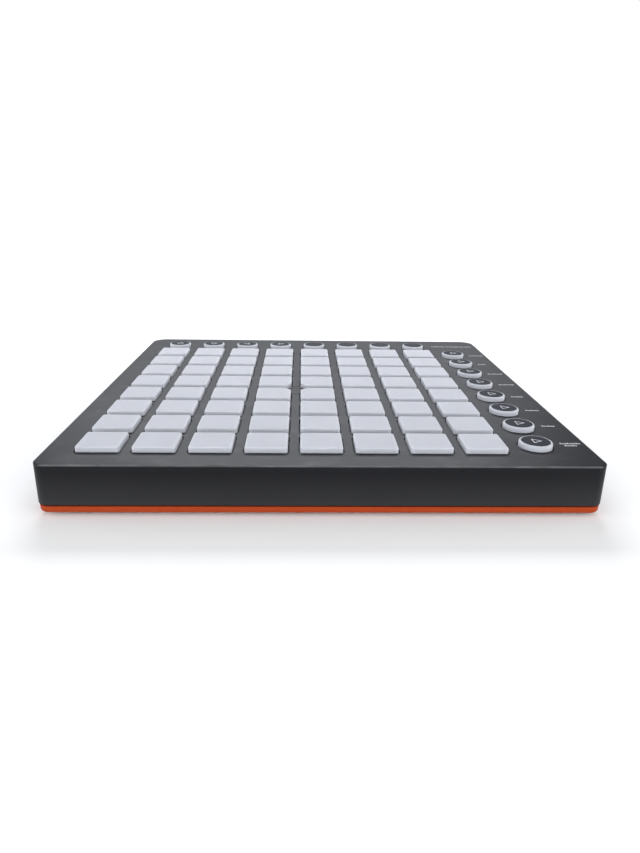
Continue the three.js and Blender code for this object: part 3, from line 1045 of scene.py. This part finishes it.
def build_marks(settings):
    """Prints a row beside each side button but the first, two rows there, and a title at the back."""
    bm = bmesh.new()
    rise = 1.3 * MM
    for name, width in zip(SIDE_BUTTONS[1:], MARK_WIDTHS_MM[1:]):
        add_dashes(bm, MARK_START, middle(name).y + rise, width * MM)
    first = middle(SIDE_BUTTONS[0]).y - 0.3 * MM
    add_dashes(bm, MARK_START, first + 2.5 * MM, 9.3 * MM)
    add_dashes(bm, MARK_START + 1.4 * MM, first, MARK_WIDTHS_MM[0] * MM)
    title = 101.2 * MM
    add_dashes(bm, 86.7 * MM, title, 9.6 * MM)
    add_dashes(bm, 97.4 * MM, title, 18.7 * MM)
    ink = shared_material("mark_ink", printed_ink, settings.print_colour)
    add_piece("printed_marks", bm, [ink])


# ---- feet


def build_feet():
    material = shared_material("black_rubber", rubber)
    for name in FEET:
        low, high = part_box(name)
        radius = (high.x - low.x) / 2
        profile = [(0, 0.25 * MM), (radius * 0.55, 0.25 * MM), (radius * 0.6, 0)]
        profile += rounded(radius, 0, 0.6 * MM, 4, up=-1)
        profile += [(radius, high.z - 0.2 * MM), (radius - 0.2 * MM, high.z), (0, high.z)]
        bm = bmesh.new()
        spun(bm, profile, middle(name).xy)
        foot = add_piece(name.replace("rubber_", ""), bm, [material], CASE, [name])
        even_shading(foot)


# ---- screws


def screw_profile(low, high, head, head_height, shank, pitch):
    """(radius, z) points of a pan-head screw that points up: a domed head and a threaded shank."""
    seat = low + head_height
    profile = [(0, low), (head * 0.55, low + 0.02 * MM), (head * 0.85, low + head_height * 0.28)]
    profile += [(head, low + head_height * 0.7), (head, seat), (shank * 0.8, seat)]
    z = seat + pitch
    while z + pitch < high - shank:
        profile += [(shank * 0.8, z), (shank, z + pitch / 2)]
        z += pitch
    return profile + [(shank * 0.8, z), (0, high)]


def build_screws():
    steel = shared_material("plated_steel", plated_steel, (0.46, 0.46, 0.47), 0.26)
    kinds = (
        (CASE_SCREWS, 2 * MM, 1.4 * MM, 0.6 * MM),
        (BOARD_SCREWS, 1.4 * MM, 1 * MM, 0.45 * MM),
    )
    for names, head_height, shank, pitch in kinds:
        for name in names:
            low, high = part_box(name)
            head = (high.x - low.x) / 2
            at = middle(name).xy
            bm = bmesh.new()
            spun(bm, screw_profile(low.z, high.z, head, head_height, shank, pitch), at, 24)
            bolt = name.replace("screw", "bolt")
            screw = add_piece(bolt, bm, [steel], CASE, [name])
            arm = (head * 0.58, head * 0.14)
            depth = low.z + head_height * 0.6
            blades = [
                block_cutter((at.x - dx, at.y - dy, low.z - RUN_OUT), (at.x + dx, at.y + dy, depth))
                for dx, dy in (arm, arm[::-1])
            ]
            cut(screw, *blades)
            even_shading(screw)


# ---- circuit board


def add_soft_box(bm, low, high, soft, index=0, steps=2):
    """A box with rounded edges, in the material of that index."""
    before = set(bm.faces)
    edges = list({edge for vert in add_box(bm, low, high) for edge in vert.link_edges})
    bmesh.ops.bevel(
        bm, geom=edges, offset=soft, segments=steps, profile=0.5, affect="EDGES", material=-1
    )
    for face in set(bm.faces) - before:
        face.material_index = index


def build_board():
    laminate = shared_material("solder_mask", solder_mask)
    lens = shared_material("light_lens", silicone, (0.85, 0.8, 0.55))
    bm = bmesh.new()
    top = BOARD_LOW.z + 1.6 * MM
    hole = 1.3 * MM
    square_stack(bm, BOARD_HIGH.x, 2 * MM, [(0, BOARD_LOW.z), (0, top)], steps=4)
    for name in BOARD_SCREWS:
        round_stack(bm, [(hole, BOARD_LOW.z), (hole, top)], middle(name).xy, 20)
    fill_level(bm, BOARD_LOW.z)
    fill_level(bm, top)
    places = key_places() + [tuple(middle(name).xy) for name in TOP_BUTTONS + SIDE_BUTTONS]
    side = 1.5 * MM
    for x, y in places:
        high = (x + side, y + side, BOARD_HIGH.z)
        add_soft_box(bm, (x - side, y - side, top), high, 0.1 * MM, 1, 1)
    add_piece("board", bm, [laminate, lens], CASE, ["circuit_board"])


def build_chips():
    """Adds the chips, each with legs along its four sides."""
    epoxy = shared_material("black_epoxy", black_epoxy)
    legs = shared_material("plated_steel", plated_steel, (0.46, 0.46, 0.47), 0.26)
    reach = 0.8 * MM
    spacing = 0.65 * MM
    count = 11
    for name in CHIPS:
        low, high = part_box(name)
        bm = bmesh.new()
        rim = Vector((reach, reach, 0))
        add_soft_box(bm, low + rim, high - rim, 0.12 * MM)
        centre = (low + high) / 2
        for side in (-1, 1):
            for n in range(count):
                out = high.x - centre.x - reach / 2
                leg = Vector((out * side, (n - (count - 1) / 2) * spacing))
                size = Vector((reach / 2, 0.12 * MM, 0.08 * MM))
                for turned in (False, True):
                    if turned:
                        leg = leg.yx
                        size.xy = size.yx
                    place = Vector((*(centre.xy + leg), high.z - 0.1 * MM))
                    add_soft_box(bm, place - size, place + size, 0.02 * MM, 1, 1)
        add_piece(name + "_package", bm, [epoxy, legs], CASE, [name])


# ---- USB socket


def build_socket():
    steel = shared_material("nickel", plated_steel, (0.62, 0.61, 0.58), 0.2)
    black = shared_material("socket_black", inlay, (0.012, 0.012, 0.013), 0.42)
    white = shared_material("socket_white", inlay, (0.78, 0.78, 0.75), 0.45)
    gold = shared_material("contact_gold", plated_steel, (0.9, 0.62, 0.24), 0.18)
    bm = bmesh.new()
    add_soft_box(bm, SOCKET_LOW, SOCKET_HIGH, 0.4 * MM, 0, 3)
    shell = add_piece("socket_shell", bm, [steel], CASE, ["usb_socket"])
    centre = (SOCKET_LOW + SOCKET_HIGH) / 2
    wide = 4.25 * MM
    tall = 3.9 * MM
    shoulder = 1.6 * MM  # the mouth is a square with its upper corners cut in by this
    back = SOCKET_HIGH.y - 9 * MM
    face = SOCKET_HIGH.y + RUN_OUT
    cut(
        shell,
        block_cutter(
            (centre.x - wide, back, centre.z - tall),
            (centre.x + wide, face, centre.z + tall - shoulder),
        ),
        block_cutter(
            (centre.x - wide + shoulder, back, centre.z),
            (centre.x + wide - shoulder, face, centre.z + tall),
        ),
    )
    even_shading(shell)
    bm = bmesh.new()
    play = 0.02 * MM
    low = Vector((centre.x - wide + play, back, centre.z - tall + play))
    high = Vector((centre.x + wide - play, back + 0.25 * MM, centre.z + tall - shoulder - play))
    add_soft_box(bm, low, high, 0.05 * MM, 0, 1)
    add_piece("socket_back", bm, [black], CASE)
    bm = bmesh.new()
    add_soft_box(bm, TONGUE_LOW, TONGUE_HIGH, 0.35 * MM, 0, 3)
    for x in (-1.25 * MM, 1.25 * MM):
        for z in (TONGUE_LOW.z, TONGUE_HIGH.z):
            place = Vector((centre.x + x, (TONGUE_LOW.y + TONGUE_HIGH.y) / 2, z))
            size = Vector((0.5 * MM, 3 * MM, 0.06 * MM))
            add_soft_box(bm, place - size, place + size, 0.03 * MM, 1, 1)
    piece = add_piece("socket_tongue", bm, [white, gold], CASE, ["usb_tongue"])
    even_shading(piece)


# ---- stage


CAMERA_PLACE = Vector((-9.6, -361.2, 128.7)) * MM
CAMERA_TURN = math.radians(1.822)
CAMERA_DIP = math.radians(19.966)
CAMERA_ROLL = math.radians(0.936)


def add_camera(settings):
    data = bpy.data.cameras.new("camera")
    data.lens = settings.lens
    data.clip_start = 0.01
    camera = add_object("camera", data)
    camera.matrix_world = (
        Matrix.Translation(CAMERA_PLACE)
        @ Matrix.Rotation(-CAMERA_TURN, 4, "Z")
        @ Matrix.Rotation(math.pi / 2 - CAMERA_DIP, 4, "X")
        @ Matrix.Rotation(CAMERA_ROLL, 4, "Z")
    )
    bpy.context.scene.camera = camera


BACK_LIGHT_PLACE = Vector((-0.05, 1.2, 0.88))
BACK_LIGHT_SIZE = (1.3, 0.5)


def add_back_light(power):
    """A softbox behind the object and above it, aimed at the origin."""
    data = bpy.data.lights.new("back_softbox", "AREA")
    data.shape = "RECTANGLE"
    data.size, data.size_y = BACK_LIGHT_SIZE
    data.energy = power
    data.color = (0.9, 0.93, 1)
    light = add_object("back_softbox", data)
    light.location = BACK_LIGHT_PLACE
    light.rotation_euler = (-BACK_LIGHT_PLACE).to_track_quat("-Z", "Y").to_euler()


def add_top_light(power):
    """A very broad light from straight above."""
    data = bpy.data.lights.new("overhead", "SUN")
    data.energy = power
    data.angle = math.radians(80)
    add_object("overhead", data)


def add_floor(settings):
    bm = bmesh.new()
    bmesh.ops.create_grid(bm, x_segments=1, y_segments=1, size=6)
    mesh = mesh_from(bm, "floor")
    mesh.materials.append(shared_material("floor_paint", floor_paint, settings.floor_colour))
    add_object("floor", mesh)


def set_world():
    """A plain white backdrop, and a soft light that is dim low down at the back."""
    world = bpy.data.worlds.new("studio")
    world.use_nodes = True
    graph = Graph(world.node_tree, "Generated")
    height = graph.axis("Z")
    above = graph.step(height, 0.3, 0.8)
    around = graph.step(graph.axis("Y"), 0.6, 0.1) * graph.step(height, 0.7, 0.4)
    power = 0.12 + (above * 0.2).greater(around * 3.2)
    cool = {"Color": (0.94, 0.965, 1.0, 1), "Strength": power}
    white = {"Color": (1, 1, 1, 1), "Strength": 1.0}
    light = graph.node("ShaderNodeBackground", {}, cool)
    backdrop = graph.node("ShaderNodeBackground", {}, white)
    seen = graph.node("ShaderNodeLightPath", output="Is Camera Ray")
    choice = graph.node("ShaderNodeMixShader", {}, {0: seen, 1: light, 2: backdrop})
    graph.feed(graph.tree.nodes["World Output"].inputs["Surface"], choice)
    bpy.context.scene.world = world


def build_stage(settings):
    set_world()
    add_floor(settings)
    add_top_light(settings.top_light)
    add_back_light(settings.back_light)
    add_camera(settings)
    bpy.context.scene.view_settings.view_transform = "Standard"


# ---- operators and panel


class PADCONTROLLER_OT_stage(bpy.types.Operator):
    """Add the floor, the backdrop, the lights and the camera"""

    bl_idname = "padcontroller.stage"
    bl_label = "Stage"

    def execute(self, context):
        build_stage(context.scene.pad_stage)
        return {"FINISHED"}


class PADCONTROLLER_OT_top_shell(bpy.types.Operator):
    """Build the top shell with its openings and bosses"""

    bl_idname = "padcontroller.top_shell"
    bl_label = "Top Shell"

    def execute(self, context):
        build_top_shell(context.scene.pad_case)
        return {"FINISHED"}


class PADCONTROLLER_OT_base_tray(bpy.types.Operator):
    """Build the base tray"""

    bl_idname = "padcontroller.base_tray"
    bl_label = "Base Tray"

    def execute(self, context):
        build_base_tray(context.scene.pad_case)
        return {"FINISHED"}


class PADCONTROLLER_OT_badge(bpy.types.Operator):
    """Build the plain diamond inlay"""

    bl_idname = "padcontroller.badge"
    bl_label = "Inlay"

    def execute(self, context):
        build_badge(context.scene.pad_case)
        return {"FINISHED"}


class PADCONTROLLER_OT_pads(bpy.types.Operator):
    """Build the silicone pads, four to a block"""

    bl_idname = "padcontroller.pads"
    bl_label = "Pads"

    def execute(self, context):
        build_pad_blocks(context.scene.pad_keys)
        return {"FINISHED"}


class PADCONTROLLER_OT_buttons(bpy.types.Operator):
    """Build the round buttons with their caps and arrows"""

    bl_idname = "padcontroller.buttons"
    bl_label = "Round Buttons"

    def execute(self, context):
        build_buttons(context.scene.pad_keys)
        return {"FINISHED"}


class PADCONTROLLER_OT_marks(bpy.types.Operator):
    """Print the plain marks on the shell"""

    bl_idname = "padcontroller.marks"
    bl_label = "Printed Marks"

    def execute(self, context):
        build_marks(context.scene.pad_case)
        return {"FINISHED"}


class PADCONTROLLER_OT_feet(bpy.types.Operator):
    """Build the rubber feet"""

    bl_idname = "padcontroller.feet"
    bl_label = "Feet"

    def execute(self, context):
        build_feet()
        return {"FINISHED"}


class PADCONTROLLER_OT_screws(bpy.types.Operator):
    """Build the screws of the case and of the board"""

    bl_idname = "padcontroller.screws"
    bl_label = "Screws"

    def execute(self, context):
        build_screws()
        return {"FINISHED"}


class PADCONTROLLER_OT_board(bpy.types.Operator):
    """Build the circuit board with its lights and chips"""

    bl_idname = "padcontroller.board"
    bl_label = "Circuit Board"

    def execute(self, context):
        build_board()
        build_chips()
        return {"FINISHED"}


class PADCONTROLLER_OT_socket(bpy.types.Operator):
    """Build the USB socket"""

    bl_idname = "padcontroller.socket"
    bl_label = "USB Socket"

    def execute(self, context):
        build_socket()
        return {"FINISHED"}


OPERATORS = (
    PADCONTROLLER_OT_stage,
    PADCONTROLLER_OT_top_shell,
    PADCONTROLLER_OT_base_tray,
    PADCONTROLLER_OT_badge,
    PADCONTROLLER_OT_pads,
    PADCONTROLLER_OT_buttons,
    PADCONTROLLER_OT_marks,
    PADCONTROLLER_OT_feet,
    PADCONTROLLER_OT_screws,
    PADCONTROLLER_OT_board,
    PADCONTROLLER_OT_socket,
)


class PADCONTROLLER_PT_panel(bpy.types.Panel):
    """Lists the steps of the build"""

    bl_idname = "PADCONTROLLER_PT_panel"
    bl_label = "Pad Controller"
    bl_space_type = "VIEW_3D"
    bl_region_type = "UI"
    bl_category = "Pad Controller"

    def draw(self, context):
        for operator in OPERATORS:
            self.layout.operator(operator.bl_idname)
        for name in SETTINGS:
            settings = getattr(context.scene, name)
            box = self.layout.box()
            for key in settings.bl_rna.properties.keys():
                if key not in ("rna_type", "name"):
                    box.prop(settings, key)


SETTINGS = {
    "pad_case": PADCONTROLLER_PG_case,
    "pad_keys": PADCONTROLLER_PG_keys,
    "pad_stage": PADCONTROLLER_PG_stage,
}
CLASSES = (*SETTINGS.values(), *OPERATORS, PADCONTROLLER_PT_panel)


def register():
    for cls in CLASSES:
        bpy.utils.register_class(cls)
    for name, group in SETTINGS.items():
        setattr(bpy.types.Scene, name, PointerProperty(type=group))


def unregister():
    for name in SETTINGS:
        delattr(bpy.types.Scene, name)
    for cls in reversed(CLASSES):
        bpy.utils.unregister_class(cls)


def main():
    register()
    for operator in OPERATORS:
        family, name = operator.bl_idname.split(".")
        getattr(getattr(bpy.ops, family), name)()


if __name__ == "__main__":
    main()
